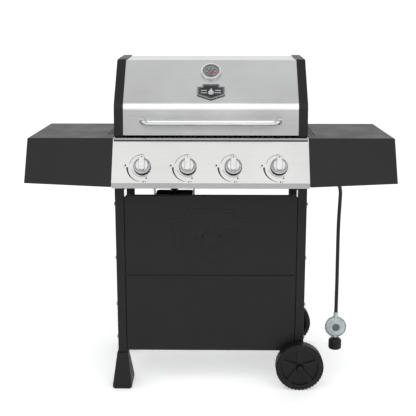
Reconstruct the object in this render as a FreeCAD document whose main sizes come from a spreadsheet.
"""A four-burner gas barbecue grill on a two-wheeled cart, as a parametric FreeCAD document.

The frame: +X to the right as seen by the cook, +Y to the back, +Z up, millimetres. The origin is on the ground
under the middle of the grill. Every sub-part is one object of the document, labelled with its node's name.
"""
import FreeCAD, Part
import math
import os
import re

import Sketcher
from FreeCAD import Placement, Rotation, Vector

DRIVING_DIMENSIONS = {
    # cart: square tube legs, the right pair on wheels and the left pair in boots
    "cart_wide": 646,
    "cart_front": -160,
    "leg_pitch": 361,
    "leg_side": 30,
    "tube_wall": 1.5,
    "leg_top": 731,
    "rail_side": 24,
    "rail_low": 146,
    "rail_high": 571,
    "front_low": 127,
    "front_seam": 401,
    "front_high": 681,
    "sheet": 1.5,
    "boot_tall": 119,
    "boot_wide": 66,
    "boot_deep": 112,
    "boot_base": 12,
    "boot_socket": 20,
    # wheels and their axle
    "wheel_radius": 82.5,
    "wheel_wide": 42,
    "wheel_gap": 3.5,
    "rim_inner": 62,
    "hub_radius": 14,
    "axle_radius": 5,
    "cap_radius": 10,
    "cap_thick": 8,
    # firebox: a folded pan with a V floor, closed by two end plates
    "box_half": 285,
    "box_front": -171,
    "box_back": 196,
    "box_rim": 876,
    "box_corner": 746,
    "box_floor": 704,
    "box_wall": 2,
    "end_thick": 3,
    "end_reach": 320,
    "end_lip": 796,
    "ledge_top": 858,
    "spout_x": -131,
    "spout_radius": 13,
    "spout_low": 662,
    # burners and what lies over them
    "knob_pitch": 147,
    "burner_z": 775,
    "burner_radius": 12.5,
    "burner_back": 168,
    "tent_wide": 96,
    "tent_tall": 26,
    "tent_low": 814,
    "grate_thick": 9,
    "rack_top": 958,
    "rack_front": 52,
    "rack_back": 176,
    # control panel: a leaning face over a short upright flange
    "panel_half": 318.5,
    "panel_top_y": -199.5,
    "panel_top_z": 879,
    "panel_lean": 30,
    "panel_face": 155,
    "panel_flange": 18,
    "panel_back": -176,
    "knob_drop": 99,
    "knob_radius": 27,
    "knob_clear": 6,
    "knob_tall": 24,
    "stem_radius": 3,
    "valve_radius": 12,
    "manifold_radius": 8,
    "manifold_y": -215,
    "manifold_z": 748,
    # side shelves
    "shelf_inner": 320,
    "shelf_outer": 600,
    "shelf_front": -197.5,
    "shelf_back": 205,
    "shelf_low": 732.5,
    "shelf_lift": 11.5,
    "shelf_tail": 40,
    # lid: a bent skin between two hollow end caps, hinged at the back
    "skin_half": 287,
    "skin_tuck": 9,
    "lid_half": 317,
    "lid_wall": 1.5,
    "cap_wall": 3,
    "cap_proud": 3,
    "lid_low": 887,
    "lid_front": -187.5,
    "brow_y": -177.2,
    "brow_z": 984.5,
    "top_front_y": -46,
    "top_front_z": 1123,
    "top_back_y": 156,
    "top_back_z": 1130,
    "lid_back": 222,
    "back_bend": 1071,
    "hinge_y": 212,
    "hinge_z": 893,
    "pin_radius": 4,
    # handle, thermometer and badge on the lid
    "handle_half": 222,
    "handle_radius": 10,
    "handle_z": 935,
    "handle_reach": 52,
    "handle_bend": 30,
    "gauge_drop": 53,
    "gauge_radius": 33,
    "dial_radius": 27,
    "badge_drop": 137,
    # grease tray on its wire hanger
    "tray_wide": 132,
    "tray_deep": 130,
    "tray_low": 627,
    "tray_tall": 26,
    "wire_radius": 1.6,
    # hose and regulator
    "hose_radius": 6.35,
    "reg_x": 438.5,
    "reg_y": -119,
    "reg_z": 203,
    "reg_radius": 36.5,
    "nut_radius": 22.5,
    "nut_low": 121,
    "nut_high": 161,
}

doc = FreeCAD.newDocument("gas_grill")
sheet = doc.addObject("Spreadsheet::Sheet", "Sizes")
for row, (alias, number) in enumerate(DRIVING_DIMENSIONS.items(), start=1):
    sheet.set(f"A{row}", alias)
    sheet.set(f"B{row}", str(number))
    sheet.setAlias(f"B{row}", alias)
doc.recompute()

PANEL_BASE = (
    "panel_top_y - knob_drop * sin(panel_lean * 1 deg)",
    "panel_top_z - knob_drop * cos(panel_lean * 1 deg)",
)
SLOPE = "atan((top_front_z - brow_z) / (top_front_y - brow_y))"


# ---------------------------------------------------------------- writing expressions
def formula(text):
    """The text with each driving dimension named as the spreadsheet's cell."""
    return re.sub(r"[a-z_]+", lambda m: f"Sizes.{m[0]}" if m[0] in DRIVING_DIMENSIONS else m[0], str(text))


def value(text):
    """What a formula comes to, in millimetres or degrees."""
    result = sheet.evalExpression(formula(text))
    return float(getattr(result, "Value", result))


def bind(thing, prop, text):
    thing.setExpression(prop, formula(text))


def place(thing, at=None, turn=None):
    """Turns a thing by (axis, angle) and binds its position to three formulas."""
    rotation = Rotation(Vector(*turn[0]), value(turn[1])) if turn else Rotation()
    thing.Placement = Placement(Vector(*[value(c) for c in (at or (0, 0, 0))]), rotation)
    if turn:
        bind(thing, "Placement.Rotation.Angle", turn[1])
    for axis, text in zip("xyz", at or ()):
        bind(thing, f"Placement.Base.{axis}", text)
    return thing


# ---------------------------------------------------------------- primitives and booleans
def box(label, low, size):
    """A Part::Box from its low corner and its three sides."""
    thing = doc.addObject("Part::Box", label)
    for prop, text in zip(("Length", "Width", "Height"), size):
        bind(thing, prop, text)
    return place(thing, low)


AXIS_TURN = {"x": ((0, 1, 0), 90), "y": ((1, 0, 0), -90), "z": ((0, 0, 1), 0)}


def rod(label, start, along, length, radius):
    """A Part::Cylinder from its start, along one axis."""
    thing = doc.addObject("Part::Cylinder", label)
    bind(thing, "Radius", radius)
    bind(thing, "Height", length)
    return place(thing, start, AXIS_TURN[along])


def fuse(label, pieces):
    thing = doc.addObject("Part::MultiFuse", label)
    thing.Shapes = pieces
    return thing


def cut(label, base, tools):
    thing = doc.addObject("Part::Cut", label)
    thing.Base = base
    thing.Tool = tools[0] if len(tools) == 1 else fuse(f"{label}_tools", tools)
    return thing


def group(label, pieces):
    """Separate solids that share one node."""
    thing = doc.addObject("Part::Compound", label)
    thing.Links = pieces
    return thing


def square_tube(label, low, size, along):
    """A square tube with open ends, from its low corner and its sides."""
    run = "xyz".index(along)
    inner_low = [c if n == run else f"{c} + tube_wall" for n, c in enumerate(low)]
    inner_size = [c if n == run else f"{c} - 2 * tube_wall" for n, c in enumerate(size)]
    return cut(label, box(f"{label}_outside", low, size), [box(f"{label}_inside", inner_low, inner_size)])


# ---------------------------------------------------------------- part design
class Body:
    """A PartDesign body that is built feature by feature."""

    def __init__(self, label):
        self.body = doc.addObject("PartDesign::Body", label)
        self.label = label
        self.count = 0

    def feature(self, kind):
        self.count += 1
        return self.body.newObject(kind, f"{self.label}_{self.count}")

    def sketch(self, plane, loops, offset="0"):
        """A constrained sketch of polygons, and of circles given as ("circle", across, up, radius)."""
        sketch = self.feature("Sketcher::SketchObject")
        origin = [f for f in self.body.Origin.OriginFeatures if f.Role == f"{plane}_Plane"][0]
        sketch.AttachmentSupport = (origin, [""])
        sketch.MapMode = "FlatFace"
        bind(sketch, "AttachmentOffset.Base.z", offset)
        for loop in loops:
            if loop[0] == "circle":
                self.circle(sketch, *loop[1:])
            else:
                self.polygon(sketch, loop)
        return sketch

    @staticmethod
    def pin(sketch, geometry, corner, across, up):
        for kind, text in (("DistanceX", across), ("DistanceY", up)):
            number = sketch.addConstraint(Sketcher.Constraint(kind, -1, 1, geometry, corner, value(text)))
            sketch.setExpression(f"Constraints[{number}]", formula(text))

    def polygon(self, sketch, points):
        first = sketch.GeometryCount
        spots = [Vector(value(a), value(b), 0) for a, b in points]
        for n, spot in enumerate(spots):
            sketch.addGeometry(Part.LineSegment(spot, spots[(n + 1) % len(spots)]), False)
        for n, (across, up) in enumerate(points):
            after = first + (n + 1) % len(points)
            sketch.addConstraint(Sketcher.Constraint("Coincident", first + n, 2, after, 1))
            self.pin(sketch, first + n, 1, across, up)

    def circle(self, sketch, across, up, radius):
        ring = Part.Circle(Vector(value(across), value(up), 0), Vector(0, 0, 1), value(radius))
        number = sketch.addGeometry(ring, False)
        self.pin(sketch, number, 3, across, up)
        size = sketch.addConstraint(Sketcher.Constraint("Radius", number, value(radius)))
        sketch.setExpression(f"Constraints[{size}]", formula(radius))

    def pad(self, sketch, length, both=False, back=False):
        pad = self.feature("PartDesign::Pad")
        pad.Profile = sketch
        bind(pad, "Length", length)
        pad.SideType = "Symmetric" if both else "One side"
        pad.Reversed = back
        doc.recompute()
        return pad

    def pocket(self, sketch, length=None, back=False):
        """A pocket to a depth, or right through both ways."""
        pocket = self.feature("PartDesign::Pocket")
        pocket.Profile = sketch
        if length is None:
            pocket.Type = "ThroughAll"
            pocket.SideType = "Symmetric"
        else:
            bind(pocket, "Length", length)
        pocket.Reversed = back
        doc.recompute()
        return pocket

    def revolve(self, sketch):
        """A full turn about the sketch's own horizontal axis."""
        turned = self.feature("PartDesign::Revolution")
        turned.Profile = sketch
        turned.ReferenceAxis = (sketch, ["H_Axis"])
        turned.Angle = 360
        doc.recompute()
        return turned

    def loft(self, low, high):
        loft = self.feature("PartDesign::AdditiveLoft")
        loft.Profile = low
        loft.Sections = [high]
        loft.Ruled = True
        doc.recompute()
        return loft

    def around(self, feature, axis, count):
        pattern = self.feature("PartDesign::PolarPattern")
        pattern.Originals = [feature]
        pattern.Axis = ([f for f in self.body.Origin.OriginFeatures if f.Role == f"{axis}_Axis"][0], [""])
        pattern.Angle = 360
        pattern.Occurrences = count
        self.body.Tip = pattern
        doc.recompute()
        return pattern

    def dress(self, kind, prop, size, wanted, faces=False, **more):
        """A fillet or shell on the edges or faces that the test wants."""
        doc.recompute()
        base = self.body.Tip
        shapes = base.Shape.Faces if faces else base.Shape.Edges
        word = "Face" if faces else "Edge"
        names = [f"{word}{n}" for n, shape in enumerate(shapes, start=1) if wanted(shape)]
        if not names:
            raise ValueError(f"{self.label}: no {word.lower()} is where the {kind} needs it")
        feature = self.feature(f"PartDesign::{kind}")
        feature.Base = (base, names)
        bind(feature, prop, size)
        for name, setting in more.items():
            setattr(feature, name, setting)
        doc.recompute()
        if {"Invalid", "Error"} & set(feature.State):
            raise ValueError(f"{self.label}: the {kind} of {size} fails on {names}")
        return feature

    def fillet(self, radius, wanted):
        return self.dress("Fillet", "Radius", radius, wanted)

    def shell(self, wall, open_faces):
        """Hollows the body, leaving the walls inside its outline."""
        return self.dress("Thickness", "Value", wall, open_faces, faces=True, Reversed=True,
                          Join="Intersection")


def straight(edge, axis):
    """Whether an edge is a line along an axis."""
    if edge.Curve.TypeId != "Part::GeomLine":
        return False
    return abs(abs(edge.Curve.Direction[axis]) - 1) < 1e-6


def at(shape, tolerance=0.6, **wanted):
    """Whether a shape's middle is at the wanted coordinates."""
    middle = shape.CenterOfMass
    return all(abs(getattr(middle, axis) - number) < tolerance for axis, number in wanted.items())


def facing(face, **wanted):
    """Whether a face's normal is past the wanted share along an axis, such as z=-0.1 for downwards."""
    first, last, low, high = face.ParameterRange
    normal = face.normalAt((first + last) / 2, (low + high) / 2)
    return all(getattr(normal, axis) * math.copysign(1, share) > abs(share) for axis,
               share in wanted.items())


def rectangle(left, right, low, high):
    return [(left, low), (right, low), (right, high), (left, high)]


# ---------------------------------------------------------------- bent rods
def rounded_wire(points, bend=None):
    """Straight runs joined by tangent arcs. Each arc is as large as its two runs allow, or of one bend radius."""
    spots = [Vector(*p) for p in points]
    edges, start, radii = [], spots[0], []
    for before, corner, after in zip(spots, spots[1:], spots[2:]):
        back, on = (before - corner).normalize(), (after - corner).normalize()
        half_turn = (math.pi - back.getAngle(on)) / 2
        shorter = min((before - corner).Length, (after - corner).Length)
        reach = bend * math.tan(half_turn) if bend else 0.45 * shorter
        radii.append(reach / math.tan(half_turn))
        enter, leave = corner + back * reach, corner + on * reach
        inward = (back + on).normalize()
        middle = corner + inward * (radii[-1] / math.cos(half_turn) - radii[-1])
        edges.append(Part.makeLine(start, enter))
        edges.append(Part.Arc(enter, middle, leave).toShape())
        start = leave
    edges.append(Part.makeLine(start, spots[-1]))
    return Part.Wire(edges), radii


def bent_rod(label, points, radius, bend=None):
    """A Part::Feature of a round rod along rounded runs, with its volume compared."""
    wire, radii = rounded_wire(points, bend)
    start = wire.Edges[0]
    direction = (start.Vertexes[1].Point - start.Vertexes[0].Point).normalize()
    section = Part.Wire(Part.makeCircle(radius, start.Vertexes[0].Point, direction))
    thing = doc.addObject("Part::Feature", label)
    thing.Shape = wire.makePipeShell([section], True, False)
    share = thing.Shape.Volume / (math.pi * radius**2 * wire.Length)
    print(f"{label}: length {wire.Length:.1f}, radii {[round(r) for r in radii]}, volume share {share:.4f}")
    return thing


# ---------------------------------------------------------------- cart
LEG_LEFT = "-cart_wide / 2"
LEG_RIGHT = "cart_wide / 2 - leg_side"
LEG_BACK = "cart_front + leg_pitch"


BOLT_HEIGHTS = ("649", "462", "296", "176")


def bolt_holes(heights):
    return [("circle", "cart_front + 9", height, "2.5") for height in heights]


def leg(label, left, front, foot, axle_hole=False):
    """A square tube leg with rounded corners. The front legs are drilled for the panel bolts."""
    body = Body(label)
    outer = rectangle(left, f"{left} + leg_side", front, f"{front} + leg_side")
    inner = rectangle(f"{left} + tube_wall", f"{left} + leg_side - tube_wall",
                      f"{front} + tube_wall", f"{front} + leg_side - tube_wall")
    body.pad(body.sketch("XY", [outer], foot), f"leg_top - ({foot})")
    body.fillet("3", lambda edge: straight(edge, 2))
    body.pocket(body.sketch("XY", [inner]))
    if axle_hole:
        hole = ("circle", f"{left} + leg_side / 2", "wheel_radius", "axle_radius + 0.05")
        body.pocket(body.sketch("XZ", [hole]))
    if front == "cart_front":
        body.pocket(body.sketch("YZ", bolt_holes(BOLT_HEIGHTS)))
    return body.body


def boot(label, front):
    """A flared plastic boot with a socket for its leg."""
    body = Body(label)
    x, y = f"{LEG_LEFT} + leg_side / 2", f"{front} + leg_side / 2"

    def plan(wide, deep, corner):
        left, right, low, high = f"{x} - {wide} / 2", f"{x} + {wide} / 2", f"{y} - {deep} / 2", f"{y} + {deep} / 2"
        return [(f"{left} + {corner}", low), (f"{right} - {corner}", low), (right, f"{low} + {corner}"),
                (right, f"{high} - {corner}"), (f"{right} - {corner}", high), (f"{left} + {corner}", high),
                (left, f"{high} - {corner}"), (left, f"{low} + {corner}")]

    base = plan("boot_wide", "boot_deep", 6)
    body.loft(body.sketch("XY", [plan("(boot_wide - 6)", "(boot_deep - 6)", 5)]),
              body.sketch("XY", [base], "4"))
    body.loft(body.sketch("XY", [base], "4"), body.sketch("XY", [base], "boot_base"))
    body.loft(body.sketch("XY", [base], "boot_base"), body.sketch("XY", [plan("38", "38", 3)], "boot_tall"))
    socket = rectangle(f"{x} - leg_side / 2 - 0.2", f"{x} + leg_side / 2 + 0.2",
                       f"{y} - leg_side / 2 - 0.2", f"{y} + leg_side / 2 + 0.2")
    body.pocket(body.sketch("XY", [socket], "boot_tall"), "boot_tall - boot_socket")
    return body.body


def front_sheet(label, low, high, notch, heights):
    """A panel of the cart's front: a shallow pan of sheet steel, open at the back."""
    body = Body(label)

    def outline(half, low, high):
        return [(f"-({half})", low), (half, low), (half, f"{high} - {notch}"), (f"{half} - {notch}", high),
                (f"-({half}) + {notch}", high), (f"-({half})", f"{high} - {notch}")]

    half = "cart_wide / 2 - leg_side - 0.5"
    body.pad(body.sketch("XZ", [outline(half, low, high)], "-(cart_front + 2)"), "12", back=True)
    front = value("cart_front + 2")
    body.fillet("2.5", lambda edge: at(edge, y=front, tolerance=0.01))
    inside = outline(f"{half} - sheet", f"{low} + sheet", f"{high} - sheet")
    body.pocket(body.sketch("XZ", [inside], "-(cart_front + 14)"), "12 - sheet", back=True)
    body.pocket(body.sketch("YZ", bolt_holes(heights)))
    return body.body


def cart():
    """Legs, boots, front panels and the rails that tie the legs together."""
    pieces = [
        leg("left_front_leg", LEG_LEFT, "cart_front", "boot_socket + 0.5"),
        leg("left_rear_leg", LEG_LEFT, LEG_BACK, "boot_socket + 0.5"),
        leg("right_front_leg", LEG_RIGHT, "cart_front", "62", axle_hole=True),
        leg("right_rear_leg", LEG_RIGHT, LEG_BACK, "62", axle_hole=True),
        boot("left_front_boot", "cart_front"),
        boot("left_rear_boot", LEG_BACK),
        front_sheet("upper_front_panel", "front_seam + 0.5", "front_high", "9", BOLT_HEIGHTS[:2]),
        front_sheet("lower_front_panel", "front_low", "front_seam - 0.5", "3", BOLT_HEIGHTS[2:]),
    ]
    margin = "(leg_side - rail_side) / 2"
    side_rails, rear_rails = [], []
    for height in ("rail_low", "rail_high"):
        for side, left in (("left", LEG_LEFT), ("right", LEG_RIGHT)):
            low = (f"{left} + {margin}", "cart_front + leg_side", height)
            side_rails.append(square_tube(f"{side}_{height}", low,
                                          ("rail_side", "leg_pitch - leg_side", "rail_side"), "y"))
        low = ("-cart_wide / 2 + leg_side", f"{LEG_BACK} + {margin}", height)
        rear_rails.append(square_tube(f"rear_{height}", low,
                                      ("cart_wide - 2 * leg_side", "rail_side", "rail_side"), "x"))
    return pieces + [group("cart_rails", side_rails + rear_rails)]


def bolt(label, start, along, shank, head_first=True):
    """A pan head bolt. Its head stands outside the start, and its shank runs on along the axis."""
    sign = 1 if head_first else -1
    run = "xyz".index(along)
    head_start, shank_start = list(start), list(start)
    head_start[run] = f"{start[run]} - {3.5 if sign > 0 else 0}"
    shank_start[run] = f"{start[run]} - {0 if sign > 0 else shank}"
    head = rod(f"{label}_head", head_start, along, "3.5", "5.5")
    return fuse(label, [head, rod(f"{label}_shank", shank_start, along, shank, "2.5")])


# ---------------------------------------------------------------- wheels
AXLE_X = "cart_wide / 2 - leg_side / 2"


def wheel(label, front, turned=False):
    """A moulded wheel: a hub, a rim and a web with five spokes on its outer face."""
    body = Body(label)
    section = [
        ("0", "axle_radius + 0.05"), ("wheel_wide", "axle_radius + 0.05"), ("wheel_wide", "hub_radius"),
        ("13", "hub_radius + 2"), ("13", "rim_inner"), ("wheel_wide - 1", "rim_inner + 4"),
        ("wheel_wide", "wheel_radius - 8"), ("wheel_wide - 5", "wheel_radius"), ("5", "wheel_radius"),
        ("0", "wheel_radius - 8"), ("1", "rim_inner + 2"), ("7", "rim_inner"), ("7", "hub_radius + 1"),
        ("0", "hub_radius"),
    ]
    body.revolve(body.sketch("YZ", [section]))
    spoke = rectangle("-9.5", "9.5", "hub_radius - 3", "rim_inner + 3")
    body.around(body.pad(body.sketch("XZ", [spoke], "-2"), "7", back=True), "Y", 5)
    start = f"{front} + {'wheel_wide' if turned else '0'}"
    return place(body.body, (AXLE_X, start, "wheel_radius"), ((0, 0, 1), "180" if turned else "0"))


def running_gear():
    """Two wheels outside the right legs, on one axle held by two caps."""
    front = "cart_front - wheel_gap - wheel_wide"
    back = f"{LEG_BACK} + leg_side + wheel_gap"
    axle_start = f"{front} - 4"
    axle_long = "leg_pitch + leg_side + 2 * (wheel_gap + wheel_wide) + 8"
    axle = rod("wheel_axle", (AXLE_X, axle_start, "wheel_radius"), "y", axle_long, "axle_radius")
    caps, washers = [], []
    for end, start in (("front", f"{front} - 0.4 - cap_thick"), ("back", f"{back} + wheel_wide + 0.4")):
        blank = rod(f"{end}_cap_blank", (AXLE_X, start, "wheel_radius"), "y", "cap_thick", "cap_radius")
        caps.append(cut(f"{end}_axle_cap", blank, [
            rod(f"{end}_cap_bore", (AXLE_X, axle_start, "wheel_radius"), "y", axle_long, "axle_radius")]))
    for end, start in (("front", "cart_front - 3"), ("back", f"{LEG_BACK} + leg_side")):
        blank = rod(f"{end}_spacer_blank", (AXLE_X, start, "wheel_radius"), "y", "3", "hub_radius - 3")
        washers.append(cut(f"{end}_spacer", blank, [
            rod(f"{end}_spacer_bore", (AXLE_X, start, "wheel_radius"), "y", "3", "axle_radius")]))
    return [wheel("front_wheel", front), wheel("rear_wheel", back, turned=True), axle,
            group("axle_hardware", caps + washers)]


# ---------------------------------------------------------------- firebox
MIDDLE = "(box_front + box_back) / 2"
BOX_OUTLINE = [("box_front", "box_rim"), ("box_front", "box_corner"), (MIDDLE, "box_floor"),
               ("box_back", "box_corner"), ("box_back", "box_rim")]


def knob_columns():
    """The numbers and X places of the four burners, valves and knobs."""
    return [(n + 1, f"knob_pitch * {n - 1.5}") for n in range(4)]


def firebox_pan():
    """The folded front wall, V floor and back wall, with ledges for the grates and a drip spout."""
    body = Body("firebox_sheet")
    body.pad(body.sketch("YZ", [BOX_OUTLINE]), "2 * box_half", both=True)
    body.fillet("12", lambda edge: straight(edge, 0) and at(edge, z=value("box_corner")))
    body.shell("box_wall", lambda face: facing(face, z=0.9) or facing(face, x=0.9) or facing(face, x=-0.9))
    long = "2 * box_half"
    parts = [body.body]
    for name, y, z in (("front_rim", "box_front - 9", "box_rim - 0.5"),
                       ("back_rim", "box_back - box_wall", "box_rim - 2"),
                       ("front_ledge", "box_front", "ledge_top - 2"),
                       ("back_ledge", "box_back - 14", "ledge_top - 2")):
        deep = "9 + box_wall" if "rim" in name else "14"
        parts.append(box(name, ("-box_half", y, z), (long, deep, "2")))
    spout_tall = "box_floor + 4 - spout_low"
    parts.append(rod("spout_wall", ("spout_x", MIDDLE, "spout_low"), "z", spout_tall, "spout_radius"))
    holes = [rod("spout_bore", ("spout_x", MIDDLE, "spout_low"), "z", "60", "spout_radius - 1.5")]
    for number, x in knob_columns():
        start = (x, "box_front - 5", "burner_z")
        holes.append(rod(f"burner_hole_{number}", start, "y", "10", "burner_radius + 1.5"))
    return cut("firebox_pan", fuse("firebox_blank", parts), holes)


def firebox_end(label, side):
    """An end plate with an outward flange, a lip for the shelf and an ear for the lid's hinge pin."""
    body = Body(f"{label}_plate")
    inner, outer = ("box_half", "end_reach") if side > 0 else ("-box_half - end_thick", "-end_reach")
    body.pad(body.sketch("YZ", [BOX_OUTLINE], inner), "end_thick")
    low_x = "box_half" if side > 0 else "-end_reach"
    flange = box(f"{label}_flange", (low_x, "box_front", "box_rim - 2"),
                 ("end_reach - box_half", "368", "2"))
    lip_x = "end_reach - 2" if side > 0 else "-end_reach"
    lip = box(f"{label}_lip", (lip_x, "box_front", "end_lip"), ("2", "368", "box_rim - end_lip"))
    ear_x = "296" if side > 0 else "-300"
    ear = Body(f"{label}_ear")
    shape = [("170", "box_rim - 1"), ("186", "box_rim - 1"), ("hinge_y - 4", "hinge_z - 6.3"),
             ("hinge_y", "hinge_z + 7.5"), ("hinge_y - 6", "hinge_z + 4")]
    ear.pad(ear.sketch("YZ", [shape], ear_x), "4")
    eye = rod(f"{label}_eye", (ear_x, "hinge_y", "hinge_z"), "x", "4", "7.5")
    bore = rod(f"{label}_eye_bore", (ear_x, "hinge_y", "hinge_z"), "x", "4", "pin_radius + 0.05")
    return cut(label, fuse(f"{label}_blank", [body.body, flange, lip, ear.body, eye]), [bore])


def lid_bumpers():
    """Four rubber pads on the end flanges that the closed lid rests on."""
    pads = []
    for side, x in (("left", "-end_reach + 1"), ("right", "end_reach - 10")):
        for end, y in (("front", "-150"), ("rear", "120")):
            pads.append(box(f"{side}_{end}_bumper", (x, y, "box_rim"),
                            ("9", "16", "lid_low - 3 - box_rim")))
    return group("lid_bumpers", pads)


def leg_brackets():
    """Four gusset plates that hang the firebox on the legs."""
    plates = []
    for side, x in (("left", "-box_half - end_thick - 5"), ("right", "box_half + end_thick")):
        for end, y in (("front", "cart_front"), ("rear", LEG_BACK)):
            name = f"{side}_{end}_gusset"
            body = Body(name)
            inset = "9" if end == "front" else "-22"
            shape = [(y, "leg_top - 2"), (y, "700"), (f"{y} + leg_side", "700"),
                     (f"{y} + leg_side + {inset}", "802"),
                     (f"{y} + {inset}", "802")]
            body.pad(body.sketch("YZ", [shape], x), "5")
            plates.append(body.body)
    return group("leg_brackets", plates)


def burner(number, x):
    """A tube burner: an open bell at the valve, a closed end on the back wall, and rows of ports."""
    name = f"burner_{number}"
    start = (x, "box_front - 6", "burner_z")
    long = "burner_back - box_front + 6"
    outside = rod(f"{name}_outside", start, "y", long, "burner_radius")
    inside = rod(f"{name}_inside", start, "y", f"{long} - 2", "burner_radius - 1.2")
    tab = box(f"{name}_tab", (f"{x} - 8", "burner_back", "burner_z - 10"),
              ("16", "box_back - box_wall - burner_back", "2"))
    window = box(f"{name}_air_window", (f"{x} - 5", "box_front + 12", "burner_z - 20"), ("10", "34", "40"))
    return cut(name, fuse(f"{name}_blank", [outside, tab]), [inside, window])


def heat_tent(number, x):
    """A folded steel roof that shields its burner from dripping fat."""
    body = Body(f"heat_tent_{number}")
    half, low, wall = "tent_wide / 2", "tent_low", "1.5"
    shape = [(f"{x} - {half}", low), (x, f"{low} + tent_tall"), (f"{x} + {half}", low),
             (f"{x} + {half} - 3", low), (x, f"{low} + tent_tall - {wall} * 1.4"),
             (f"{x} - {half} + 3", low)]
    body.pad(body.sketch("XZ", [shape], "-(box_front + 24)"), "box_back - box_front - 46", back=True)
    return body.body


def tent_hangers():
    """Two toothed strips inside the pan that carry the burners' heat tents."""
    strips = []
    for name, y in (("front_hanger", "box_front + box_wall"), ("back_hanger", "box_back - box_wall - 26")):
        strips.append(box(name, ("-box_half + 2", y, "tent_low - 3"), ("2 * box_half - 4", "26", "3")))
    return group("tent_hangers", strips)


def grate(label, left):
    """Half of the cooking grate: flat bars along Y in a frame."""
    wide = "box_half - 2"
    front, deep = "box_front + box_wall + 2", "box_back - box_front - 2 * box_wall - 4"
    low = "ledge_top"
    bars = []
    for n, y in enumerate((front, f"{front} + ({deep}) * 0.32", f"{front} + ({deep}) * 0.65",
                           f"{front} + {deep} - 8")):
        bars.append(box(f"{label}_cross_{n}", (left, y, low), (wide, "8", "grate_thick - 2")))
    count = 17
    for n in range(count):
        x = f"{left} + ({wide} - 7) * {n / (count - 1):.4f}"
        bars.append(box(f"{label}_bar_{n}", (x, front, low), ("7", deep, "grate_thick")))
    return fuse(label, bars)


def warming_rack():
    """A wire rack above the back of the grate, standing on the end flanges."""
    half = "box_half - 12"
    parts = []
    for name, y in (("front", "rack_front"), ("back", "rack_back")):
        parts.append(rod(f"rack_{name}_rail", (f"-({half})", y, "rack_top"), "x", f"2 * ({half})", "3"))
        for side, x in (("left", f"-({half}) + 8"), ("right", f"{half} - 8")):
            parts.append(rod(f"rack_{name}_{side}_post", (x, y, "ledge_top + grate_thick + 0.3"), "z",
                             "rack_top - ledge_top - grate_thick - 0.3", "3"))
    count = 27
    for n in range(count):
        x = f"-({half}) + 3 + (2 * ({half}) - 6) * {n / (count - 1):.4f}"
        parts.append(rod(f"rack_wire_{n}", (x, "rack_front", "rack_top"), "y", "rack_back - rack_front",
                         "2"))
    return fuse("warming_rack", parts)


# ---------------------------------------------------------------- gas train and controls
LEAN_TURN = ((1, 0, 0), "90 - panel_lean")


def on_panel(thing, x, depth="0"):
    """Places a thing made along +Z on the panel's leaning face, a depth in front of it."""
    y = f"{PANEL_BASE[0]} - ({depth}) * cos(panel_lean * 1 deg)"
    z = f"{PANEL_BASE[1]} + ({depth}) * sin(panel_lean * 1 deg)"
    return place(thing, (x, y, z), LEAN_TURN)


def panel_rod(label, x, low, high, radius):
    """A cylinder square to the panel, between two depths in front of it."""
    thing = rod(label, ("0", "0", "0"), "z", f"({high}) - ({low})", radius)
    return on_panel(thing, x, low)


VALVE_MIDDLE = "(burner_z - panel_top_z + knob_drop * cos(panel_lean * 1 deg)) / sin(panel_lean * 1 deg)"


def gas_valve(number, x):
    """A valve body with a bore for its plug, a neck for its stem, a stub into the manifold and a gas jet."""
    name = f"gas_valve_{number}"
    barrel = panel_rod(f"{name}_barrel", x, f"{VALVE_MIDDLE} - 14", f"{VALVE_MIDDLE} + 10", "valve_radius")
    neck = panel_rod(f"{name}_neck", x, f"{VALVE_MIDDLE} + 10", "-9", "6.5")
    stub = rod(f"{name}_stub", (x, "manifold_y", "manifold_z + 2"), "z", "burner_z - manifold_z - 2", "5")
    jet = rod(f"{name}_jet", (x, "manifold_y", "burner_z"), "y", "box_front - 8 - manifold_y", "4")
    plug_bore = panel_rod(f"{name}_plug_bore", x, f"{VALVE_MIDDLE} - 12", f"{VALVE_MIDDLE} + 7", "6.1")
    stem_bore = panel_rod(f"{name}_stem_bore", x, f"{VALVE_MIDDLE}", "-8", "stem_radius + 0.25")
    return cut(name, fuse(f"{name}_blank", [barrel, neck, stub, jet]), [plug_bore, stem_bore])


def valve_plug(number, x):
    """The tapered plug that meters the gas. It turns with the stem, and the stem slides in it."""
    name = f"valve_plug_{number}"
    blank = panel_rod(f"{name}_blank", x, f"{VALVE_MIDDLE} - 11.7", f"{VALVE_MIDDLE} + 6.5", "6")
    key = panel_rod(f"{name}_keyway", x, f"{VALVE_MIDDLE} - 11.7", f"{VALVE_MIDDLE} + 6.5",
                    "stem_radius + 0.05")
    return cut(name, blank, [key])


def valve_stem(number, x):
    return panel_rod(f"valve_stem_{number}", x, f"{VALVE_MIDDLE} - 6", "knob_clear + 13", "stem_radius")


def knob(number, x):
    """A moulded knob: a skirt, a crown and a grip bar, with a socket for the valve stem."""
    body = Body(f"knob_{number}")
    skirt = [("0", "0"), ("0", "knob_radius - 1"), ("1", "knob_radius"), ("5", "knob_radius"),
             ("8", "knob_radius - 3"),
             ("9.5", "knob_radius - 6"), ("13", "knob_radius - 8"), ("13.6", "0")]
    spun = body.revolve(body.sketch("YZ", [skirt]))
    grip = [("-9", "-knob_radius"), ("-6.5", "-knob_radius - 3.5"), ("6.5", "-knob_radius - 3.5"),
            ("9", "-knob_radius"),
            ("9.5", "15"), ("6.5", "20"), ("-6.5", "20"), ("-9.5", "15")]
    doc.recompute()
    body.pad(body.sketch("XZ", [grip], "-2"), "knob_tall - 2", back=True)
    top = value("knob_tall")
    body.fillet("2", lambda edge: at(edge, y=top, tolerance=0.05))
    body.pocket(body.sketch("XZ", [("circle", "0", "0", "stem_radius")]), "13", back=False)
    return body.body


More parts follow.
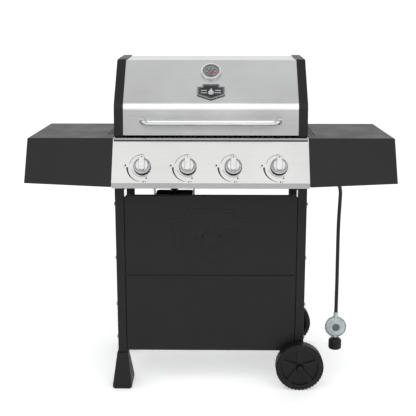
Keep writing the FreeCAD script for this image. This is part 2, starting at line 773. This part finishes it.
def manifold():
    """The gas rail along the back of the panel, plugged on the left and threaded for the hose on the right."""
    rail = rod("manifold_rail", ("-knob_pitch * 1.5 - 24", "manifold_y", "manifold_z"), "x",
               "knob_pitch * 1.5 + 24 + 304", "manifold_radius")
    collar = rod("manifold_collar", ("296", "manifold_y", "manifold_z"), "x", "14", "manifold_radius + 3")
    holes = [rod(f"manifold_tap_{number}", (x, "manifold_y", "manifold_z + 2"), "z", "12", "5")
             for number, x in knob_columns()]
    brackets = []
    for n, x in enumerate(("-knob_pitch", "knob_pitch")):
        brackets.append(box(f"manifold_arm_{n}", (f"{x} - 10", "manifold_y + 2", "manifold_z + 5"),
                            ("20", "box_front - manifold_y - 2", "3")))
        brackets.append(box(f"manifold_pad_{n}", (f"{x} - 10", "box_front - 3", "manifold_z + 6"),
                            ("20", "3", "26")))
    return cut("gas_manifold", fuse("manifold_blank", [rail, collar] + brackets), holes)


def control_panel():
    """The stainless front: a leaning face, a short flange under it, a bead on its top edge and closed ends."""
    body = Body("panel_sheet")
    foot_y = "panel_top_y - panel_face * sin(panel_lean * 1 deg)"
    foot_z = "panel_top_z - panel_face * cos(panel_lean * 1 deg)"
    outline = [("panel_back", "panel_top_z"), ("panel_top_y", "panel_top_z"), (foot_y, foot_z),
               (foot_y, f"{foot_z} - panel_flange"), (f"{foot_y} + 16", f"{foot_z} - panel_flange"),
               ("panel_back", f"{foot_z} - 10")]
    body.pad(body.sketch("YZ", [outline]), "2 * panel_half", both=True)
    front = value(foot_y)
    body.fillet("3", lambda edge: straight(edge, 0) and at(edge, y=front) or
                straight(edge, 0) and at(edge, y=value("panel_top_y")))
    body.shell("sheet", lambda face: facing(face, y=0.2) and face.Area > 5000)
    bead = Body("panel_bead")
    shape = [("panel_top_y - 5", "panel_top_z - 5.5"), ("panel_top_y + 1", "panel_top_z - 5.5"),
             ("panel_top_y + 1", "panel_top_z + 1"), ("panel_top_y - 3.5", "panel_top_z + 1"),
             ("panel_top_y - 5", "panel_top_z - 0.5")]
    bead.pad(bead.sketch("YZ", [shape]), "2 * panel_half - 4", both=True)
    bead.fillet("1", lambda edge: straight(edge, 0) and edge.CenterOfMass.y < value("panel_top_y - 2"))
    holes = [panel_rod(f"panel_hole_{number}", x, "-10", "10", "9") for number, x in knob_columns()]
    outlet = rod("panel_outlet", ("panel_half - 20", "manifold_y", "manifold_z"), "x", "40",
                 "manifold_radius + 4")
    return cut("control_panel", fuse("panel_blank", [body.body, bead.body]), holes + [outlet])


def shelf_form(label, side, inset, radius):
    """The outline of a shelf as a solid, or the space inside its sheet when it is inset and runs on below."""
    body = Body(label)
    slant = f"({inset}) / cos(panel_lean * 1 deg)"
    foot = "shelf_low" if inset == "0" else "shelf_low - 40"
    front_foot = f"shelf_front + {slant} - (panel_top_z - ({foot})) * tan(panel_lean * 1 deg)"
    outline = [(f"shelf_front + {slant} - ({inset}) * tan(panel_lean * 1 deg)", f"panel_top_z - ({inset})"),
               (f"shelf_back - ({inset})", f"panel_top_z - ({inset})")]
    if inset == "0":
        outline += [("shelf_back", "panel_top_z - shelf_tail"), (f"{front_foot} + 40", foot),
                    (front_foot, foot)]
    else:
        outline += [(f"shelf_back - ({inset})", foot), (front_foot, foot)]
    start = f"shelf_inner + ({inset})" if side > 0 else f"({inset}) - shelf_outer"
    body.pad(body.sketch("YZ", [outline], start), f"shelf_outer - shelf_inner - 2 * ({inset})")
    top, outer = value(f"panel_top_z - ({inset})"), side * value(f"shelf_outer - ({inset})")
    inner = side * value(f"shelf_inner + ({inset})")
    if inset == "0":
        near, far = ("shelf_inner", "shelf_outer + 5") if side > 0 else ("-shelf_inner", "-shelf_outer - 5")
        wedge = [(near, "shelf_low"), (near, "shelf_low - 20"), (far, "shelf_low - 20"),
                 (far, "shelf_low + shelf_lift")]
        body.pocket(body.sketch("XZ", [wedge]))

    def rounded(edge):
        reach = edge.BoundBox
        on_top = at(edge, z=top) and not at(edge, x=inner)
        upright = at(edge, x=outer) and reach.ZLength > 20 and (reach.ZLength > reach.YLength)
        return (on_top or upright) and edge.Length > 20

    body.fillet(radius, rounded)
    return body.body


def side_shelf(label, side):
    """A folded steel shelf: flat top, leaning front, sides and a short back, open underneath."""
    tools = [shelf_form(f"{label}_inside", side, "sheet", "2.5")]
    for n, offset in enumerate((14, 24)):
        x = f"shelf_inner + {offset}" if side > 0 else f"-shelf_inner - {offset + 3}"
        tools.append(box(f"{label}_slot_{n}", (x, "shelf_front + 72", "panel_top_z - 10"),
                         ("3", "270", "20")))
    if side > 0:
        tools.append(rod(f"{label}_hose_hole", ("shelf_inner - 5", "manifold_y", "manifold_z"), "x", "10",
                         "12"))
    return cut(label, shelf_form(f"{label}_outside", side, "0", "4"), tools)


# ---------------------------------------------------------------- lid
LID_OUTLINE = [("lid_front", "lid_low"), ("brow_y", "brow_z"), ("top_front_y", "top_front_z"),
               ("top_back_y", "top_back_z"), ("lid_back", "back_bend"), ("lid_back", "lid_low - 2")]


def face_y(z):
    """Where the lid's lower front face is at a height."""
    return f"lid_front + (({z}) - lid_low) * (brow_y - lid_front) / (brow_z - lid_low)"


def lid_profile(body, outline, length, plane_offset, both=False):
    """Pads the lid's outline along X and rounds its four bends."""
    body.pad(body.sketch("YZ", [outline], plane_offset), length, both=both)
    bends = [(1, 46), (2, 12), (3, 26), (4, 26)]
    for corner, radius in bends:
        y, z = (value(c) for c in outline[corner])
        body.fillet(str(radius), lambda edge: straight(edge, 0) and at(edge, y=y, z=z, tolerance=0.1))


def lid_skin():
    """The stainless skin, bent from one sheet and open underneath and at its ends."""
    body = Body("lid_skin_sheet")
    lid_profile(body, LID_OUTLINE, "2 * (skin_half + skin_tuck)", "0", both=True)
    body.shell("lid_wall", lambda face: facing(face, x=0.9) or facing(face, x=-0.9) or facing(face, z=-0.9))
    return cut("lid_skin", body.body, [gauge_rod("gauge_hole", "-20", "20", "4.2")] + handle_holes("skin"))


def moved(outline, out):
    """The lid's outline, grown outwards by a distance that may be negative."""
    shifts = [(-1, 0), (-1, 0.32), (-0.4, 1.05), (0.5, 1.1), (1, 0.55), (1, 0)]
    return [(f"{y} + ({out}) * {dy}", f"{z} + ({out}) * {dz}") for (y, z), (dy, dz) in zip(outline, shifts)]


def lid_cap(label, side):
    """A hollow cast end cap, a little proud of the skin, with a hole for its hinge pin."""
    body = Body(f"{label}_casting")
    outline = moved(LID_OUTLINE, "cap_proud")
    outline[0] = (f"{face_y('lid_low - 3')} - cap_proud", "lid_low - 3")
    outline[5] = (outline[5][0], "lid_low - 3")
    start = "skin_half" if side > 0 else "-lid_half"
    lid_profile(body, outline, "lid_half - skin_half", start)
    outer = side * value("lid_half")
    body.fillet("3", lambda edge: abs(edge.CenterOfMass.x - outer) < 0.01 and not straight(edge, 1))
    hollow = moved(LID_OUTLINE, "cap_proud - cap_wall")
    hollow[0] = (f"{face_y('lid_low - 20')}", "lid_low - 20")
    hollow[5] = (hollow[5][0], "lid_low - 20")
    inside = Body(f"{label}_inside")
    lid_profile(inside, hollow, "lid_half - skin_half",
                "skin_half - cap_wall" if side > 0 else "cap_wall - lid_half")
    pin = rod(f"{label}_pin_hole", ("skin_half" if side > 0 else "-lid_half - 1", "hinge_y", "hinge_z"),
              "x",
              "lid_half - skin_half + 1", "pin_radius")
    return cut(label, body.body, [inside.body, pin])


def hinge_pins():
    """Two headed pins, fixed in the end caps, that turn in the firebox ears."""
    pins = []
    for name, start, head in (("left_pin", "-lid_half", "-lid_half - 2.5"),
                              ("right_pin", "lid_half - 24", "lid_half")):
        shank = rod(f"{name}_shank", (start, "hinge_y", "hinge_z"), "x", "24", "pin_radius")
        pins.append(fuse(name, [shank, rod(f"{name}_head", (head, "hinge_y", "hinge_z"), "x", "2.5",
                                           "6.5")]))
    return group("hinge_pins", pins)


def handle_holes(name):
    return [rod(f"{name}_handle_hole_{side}", (f"{side} * handle_half", f"{face_y('handle_z')} - 6",
                                               "handle_z"),
                "y", "20", "3") for side in (-1, 1)]


def lid_handle():
    """A bent stainless tube across the front of the lid."""
    root, reach, half, z = (value(t) for t in (f"{face_y('handle_z')} - 3.65", "handle_reach",
                                               "handle_half", "handle_z"))
    points = [(-half, root, z), (-half, root - reach, z), (half, root - reach, z), (half, root, z)]
    return bent_rod("lid_handle", points, value("handle_radius"), value("handle_bend"))


def handle_mounts():
    """A base ring under each end of the handle and the bolt that holds it from inside the lid."""
    parts = []
    for side in (-1, 1):
        x, y = f"{side} * handle_half", face_y("handle_z")
        ring = rod(f"handle_ring_blank_{side}", (x, f"{y} - 3.65", "handle_z"), "y", "2.2",
                   "handle_radius + 3.5")
        bore = rod(f"handle_ring_bore_{side}", (x, f"{y} - 4", "handle_z"), "y", "6", "3")
        parts.append(cut(f"handle_ring_{side}", ring, [bore]))
        shank = rod(f"handle_bolt_shank_{side}", (x, f"{y} - 3.65", "handle_z"), "y", "8.65", "2.8")
        parts.append(fuse(f"handle_bolt_{side}", [
            shank, rod(f"handle_bolt_head_{side}", (x, f"{y} + 2.5", "handle_z"), "y", "4", "6")]))
    return group("handle_mounts", parts)


# ---------------------------------------------------------------- thermometer and badge
FACE_TURN = ((1, 0, 0), SLOPE)


def on_face(thing, drop, depth, x="0"):
    """Places a thing made along +Z on the lid's sloping face, a drop below its top bend and a depth in front."""
    y = f"top_front_y - ({drop}) * cos({SLOPE}) - ({depth}) * sin({SLOPE})"
    z = f"top_front_z - ({drop}) * sin({SLOPE}) + ({depth}) * cos({SLOPE})"
    return place(thing, (x, y, z), FACE_TURN)


def gauge_rod(label, low, high, radius):
    return on_face(rod(label, ("0", "0", "0"), "z", f"({high}) - ({low})", radius), "gauge_drop", low)


def thermometer():
    """The lid gauge: a cup with a stem, a dial, a needle on its spindle and a lens."""
    cup = gauge_rod("gauge_cup", "0.6", "9", "gauge_radius")
    stem = gauge_rod("gauge_stem", "-44", "0.6", "4")
    nut = gauge_rod("gauge_nut", "-9", "-2.6", "8")
    well = gauge_rod("gauge_well", "2", "9", "dial_radius + 1")
    shaft = gauge_rod("gauge_shaft_bore", "-40", "2", "1.3")
    housing = cut("gauge_housing", fuse("gauge_blank", [cup, stem, nut]), [well, shaft])
    dial = cut("gauge_dial", gauge_rod("dial_disc", "2", "2.8", "dial_radius + 1"),
               [gauge_rod("dial_bore", "2", "2.8", "1.5")])
    lens = gauge_rod("gauge_lens", "6.4", "7.8", "dial_radius + 1")
    body = Body("needle_blade")
    body.pad(body.sketch("XY", [[("8.2", "5.9"), ("5.9", "8.2"), ("-0.9", "0.9"), ("-15.2", "-14.5"),
                                 ("-14.5", "-15.2"), ("0.9", "-0.9")]]),
             "0.8")
    blade = on_face(body.body, "gauge_drop", "4")
    hub = gauge_rod("needle_hub", "3.4", "5.2", "2.6")
    spindle = gauge_rod("needle_spindle", "-36", "3.4", "1.2")
    needle = fuse("gauge_needle", [blade, hub, spindle])
    return [housing, dial, lens, needle]


def badge():
    """A plain five-sided maker's shield, fixed to the lid."""
    body = Body("lid_badge")
    shield = [("-46", "22"), ("-30", "22"), ("-27", "33"), ("27", "33"), ("30", "22"), ("46", "22"),
              ("46", "-15"),
              ("0", "-34"), ("-46", "-15")]
    body.pad(body.sketch("XY", [shield]), "3")
    body.fillet("0.9", lambda edge: at(edge, z=3, tolerance=0.01))
    return on_face(body.body, "badge_drop", "0.2")


# ---------------------------------------------------------------- grease tray
def tray_hanger():
    """Two wire loops hung under the firebox, joined by the runners that the tray slides on."""
    left, right = "spout_x - tray_wide / 2 - 4", "spout_x + tray_wide / 2 + 4"
    wires = []
    for name, y in (("front", f"{MIDDLE} - 30"), ("rear", f"{MIDDLE} + 30")):
        for side, x in (("left", left), ("right", right)):
            wires.append(rod(f"hanger_{name}_{side}", (x, y, "tray_low - 4.4"), "z", "720 - tray_low",
                             "wire_radius"))
        wires.append(rod(f"hanger_{name}_floor", (left, y, "tray_low - 4.4"), "x", "tray_wide + 8",
                         "wire_radius"))
    for side, x in (("left", "spout_x - 40"), ("right", "spout_x + 40")):
        wires.append(rod(f"hanger_{side}_runner", (x, f"{MIDDLE} - 60", "tray_low - wire_radius"), "y",
                         "120", "wire_radius"))
    hollow = Body("hanger_trim")
    hollow.pad(hollow.sketch("YZ", [BOX_OUTLINE]), "600", both=True)
    return cut("tray_hanger", fuse("hanger_blank", wires), [hollow.body])


def grease_tray():
    """A pressed tray under the drip spout."""
    body = Body("grease_tray")
    x, y = "spout_x", MIDDLE
    plan = rectangle(f"{x} - tray_wide / 2", f"{x} + tray_wide / 2", f"{y} - tray_deep / 2",
                     f"{y} + tray_deep / 2")
    body.pad(body.sketch("XY", [plan], "tray_low"), "tray_tall")
    low = value("tray_low")
    body.fillet("14", lambda edge: straight(edge, 2))
    body.fillet("5", lambda edge: at(edge, z=low, tolerance=0.01))
    body.shell("1.2", lambda face: facing(face, z=0.9))
    return body.body


# ---------------------------------------------------------------- hose and regulator
HOSE_ROUTE = [(336, -215, 748), (380, -215, 748), (417, -192, 736.5), (434, -162, 705), (437, -135, 657),
              (436.5, -119, 579), (437, -120, 473), (438.5, -119, 365), (438.5, -119, 257)]


def gas_hose():
    """The rubber hose from the manifold down to the regulator, and the fitting at its top."""
    hose = bent_rod("gas_hose", HOSE_ROUTE, value("hose_radius"))
    x, y, z = HOSE_ROUTE[0]
    nut = rod("hose_nut", ("310", "manifold_y", "manifold_z"), "x", "12", "9.5")
    barb = rod("hose_barb", ("322", "manifold_y", "manifold_z"), "x", "14", "7.6")
    fitting = fuse("hose_fitting", [nut, barb])
    ferrule = rod("hose_ferrule", ("reg_x", "reg_y", "reg_z + reg_radius + 1"), "z", "53 - reg_radius", "8")
    return [hose, fitting, ferrule]


def regulator():
    """The pressure regulator: a cast body, a crimped cover over its diaphragm, a brass nipple and a hand nut."""
    back = Body("regulator_back")
    profile = [("-2", "0"), ("-2", "reg_radius"), ("4", "reg_radius"), ("7", "reg_radius - 4"),
               ("17", "16"), ("22", "14"),
               ("22", "0")]
    back.revolve(back.sketch("YZ", [profile]))
    place(back.body, ("reg_x", "reg_y", "reg_z"))
    neck = rod("regulator_neck", ("reg_x", "reg_y + 2", "reg_z + 22"), "z", "reg_radius - 21", "9.5")
    throat = rod("regulator_throat", ("reg_x", "reg_y + 2", "reg_z - reg_radius - 1"), "z",
                 "reg_radius - 15", "9")
    casting = fuse("regulator_casting", [back.body, neck, throat])
    cover = Body("regulator_cover")
    dome = [("-2.1", "0"), ("-2.1", "reg_radius - 0.5"), ("-4.5", "reg_radius - 0.5"),
            ("-5.5", "reg_radius - 2.5"),
            ("-7", "reg_radius - 5"), ("-11", "17"), ("-11", "13.5"), ("-8.5", "12.5"), ("-8.5", "0")]
    cover.revolve(cover.sketch("YZ", [dome]))
    place(cover.body, ("reg_x", "reg_y", "reg_z"))
    nipple = fuse("coupling_nipple", [
        rod("nipple_stem", ("reg_x", "reg_y + 2", "nut_low + 26"), "z", "reg_z - reg_radius - nut_low - 27",
            "6"),
        rod("nipple_collar", ("reg_x", "reg_y + 2", "nut_high - 14"), "z", "4", "11")])
    grip = rod("nut_grip", ("reg_x", "reg_y + 2", "nut_low"), "z", "nut_high - nut_low", "nut_radius")
    thread = rod("nut_thread", ("reg_x", "reg_y + 2", "nut_low"), "z", "nut_high - nut_low - 14.2", "16.5")
    shoulder = rod("nut_shoulder", ("reg_x", "reg_y + 2", "nut_high - 14.2"), "z", "4.4", "11.3")
    throat_hole = rod("nut_throat", ("reg_x", "reg_y + 2", "nut_high - 20"), "z", "30", "6.2")
    nut = cut("coupling_nut", grip, [thread, shoulder, throat_hole])
    return [group("gas_regulator", [casting, cover.body]), nipple, nut]


# ---------------------------------------------------------------- fasteners
def cart_bolts():
    """The bolts that hold the front panels to the legs and the gussets to the firebox."""
    parts = []
    for height in BOLT_HEIGHTS:
        for side, x, first in (("left", "-cart_wide / 2", True), ("right", "cart_wide / 2", False)):
            start = (x, "cart_front + 9", height)
            parts.append(bolt(f"panel_bolt_{side}_{height}", start, "x", "leg_side + 2", first))
    return group("cart_bolts", parts)


def build():
    """Makes every sub-part and returns them in the order of their nodes."""
    nodes = cart() + running_gear()
    nodes += [firebox_pan(), firebox_end("firebox_left_end", -1), firebox_end("firebox_right_end", 1),
              leg_brackets()]
    nodes.append(group("burners", [burner(number, x) for number, x in knob_columns()]))
    tents = [heat_tent(number, x) for number, x in knob_columns()]
    nodes += [group("heat_tents", tents), tent_hangers()]
    grates = [grate("left_grate", "-box_half + 1"), grate("right_grate", "1")]
    nodes += [group("cooking_grates", grates), warming_rack(), lid_bumpers()]
    nodes += [manifold(), group("gas_valves", [gas_valve(number, x) for number, x in knob_columns()])]
    for number, x in knob_columns():
        nodes += [valve_plug(number, x), valve_stem(number, x)]
        dial = knob(number, x)
        nodes.append(on_knob_axis(dial, x))
    nodes += [control_panel(), side_shelf("left_side_shelf", -1), side_shelf("right_side_shelf", 1)]
    nodes += [lid_skin(), lid_cap("lid_left_cap", -1), lid_cap("lid_right_cap", 1), hinge_pins()]
    nodes += [lid_handle(), handle_mounts()] + thermometer() + [badge()]
    nodes += [tray_hanger(), grease_tray()] + gas_hose() + regulator() + [cart_bolts()]
    return nodes


def on_knob_axis(thing, x):
    """Places a knob, made along its own Y, with that axis outwards from the panel and its -Z up the panel."""
    y = f"{PANEL_BASE[0]} - knob_clear * cos(panel_lean * 1 deg)"
    z = f"{PANEL_BASE[1]} + knob_clear * sin(panel_lean * 1 deg)"
    return place(thing, (x, y, z), ((1, 0, 0), "180 - panel_lean"))


def write(nodes):
    """Checks the document and writes one STEP file for each sub-part."""
    doc.recompute()
    failed = [f"{o.Label}: {o.State}" for o in doc.Objects if {"Invalid", "Error"} & set(o.State)]
    if failed:
        raise RuntimeError(f"the document has failed objects: {failed}")
    os.makedirs("parts", exist_ok=True)
    for old in os.listdir("parts"):
        os.remove(os.path.join("parts", old))
    for node in nodes:
        if node.Shape.isNull() or not node.Shape.isValid() or not node.Shape.Solids:
            raise RuntimeError(f"{node.Label} has no valid solid")
        node.Shape.exportStep(f"parts/{node.Label}.step")
    whole = Part.makeCompound([node.Shape for node in nodes]).BoundBox
    print(f"{len(nodes)} nodes, from {whole.XMin:.1f}, {whole.YMin:.1f}, {whole.ZMin:.1f} "
          f"to {whole.XMax:.1f}, {whole.YMax:.1f}, {whole.ZMax:.1f}")


write(build())
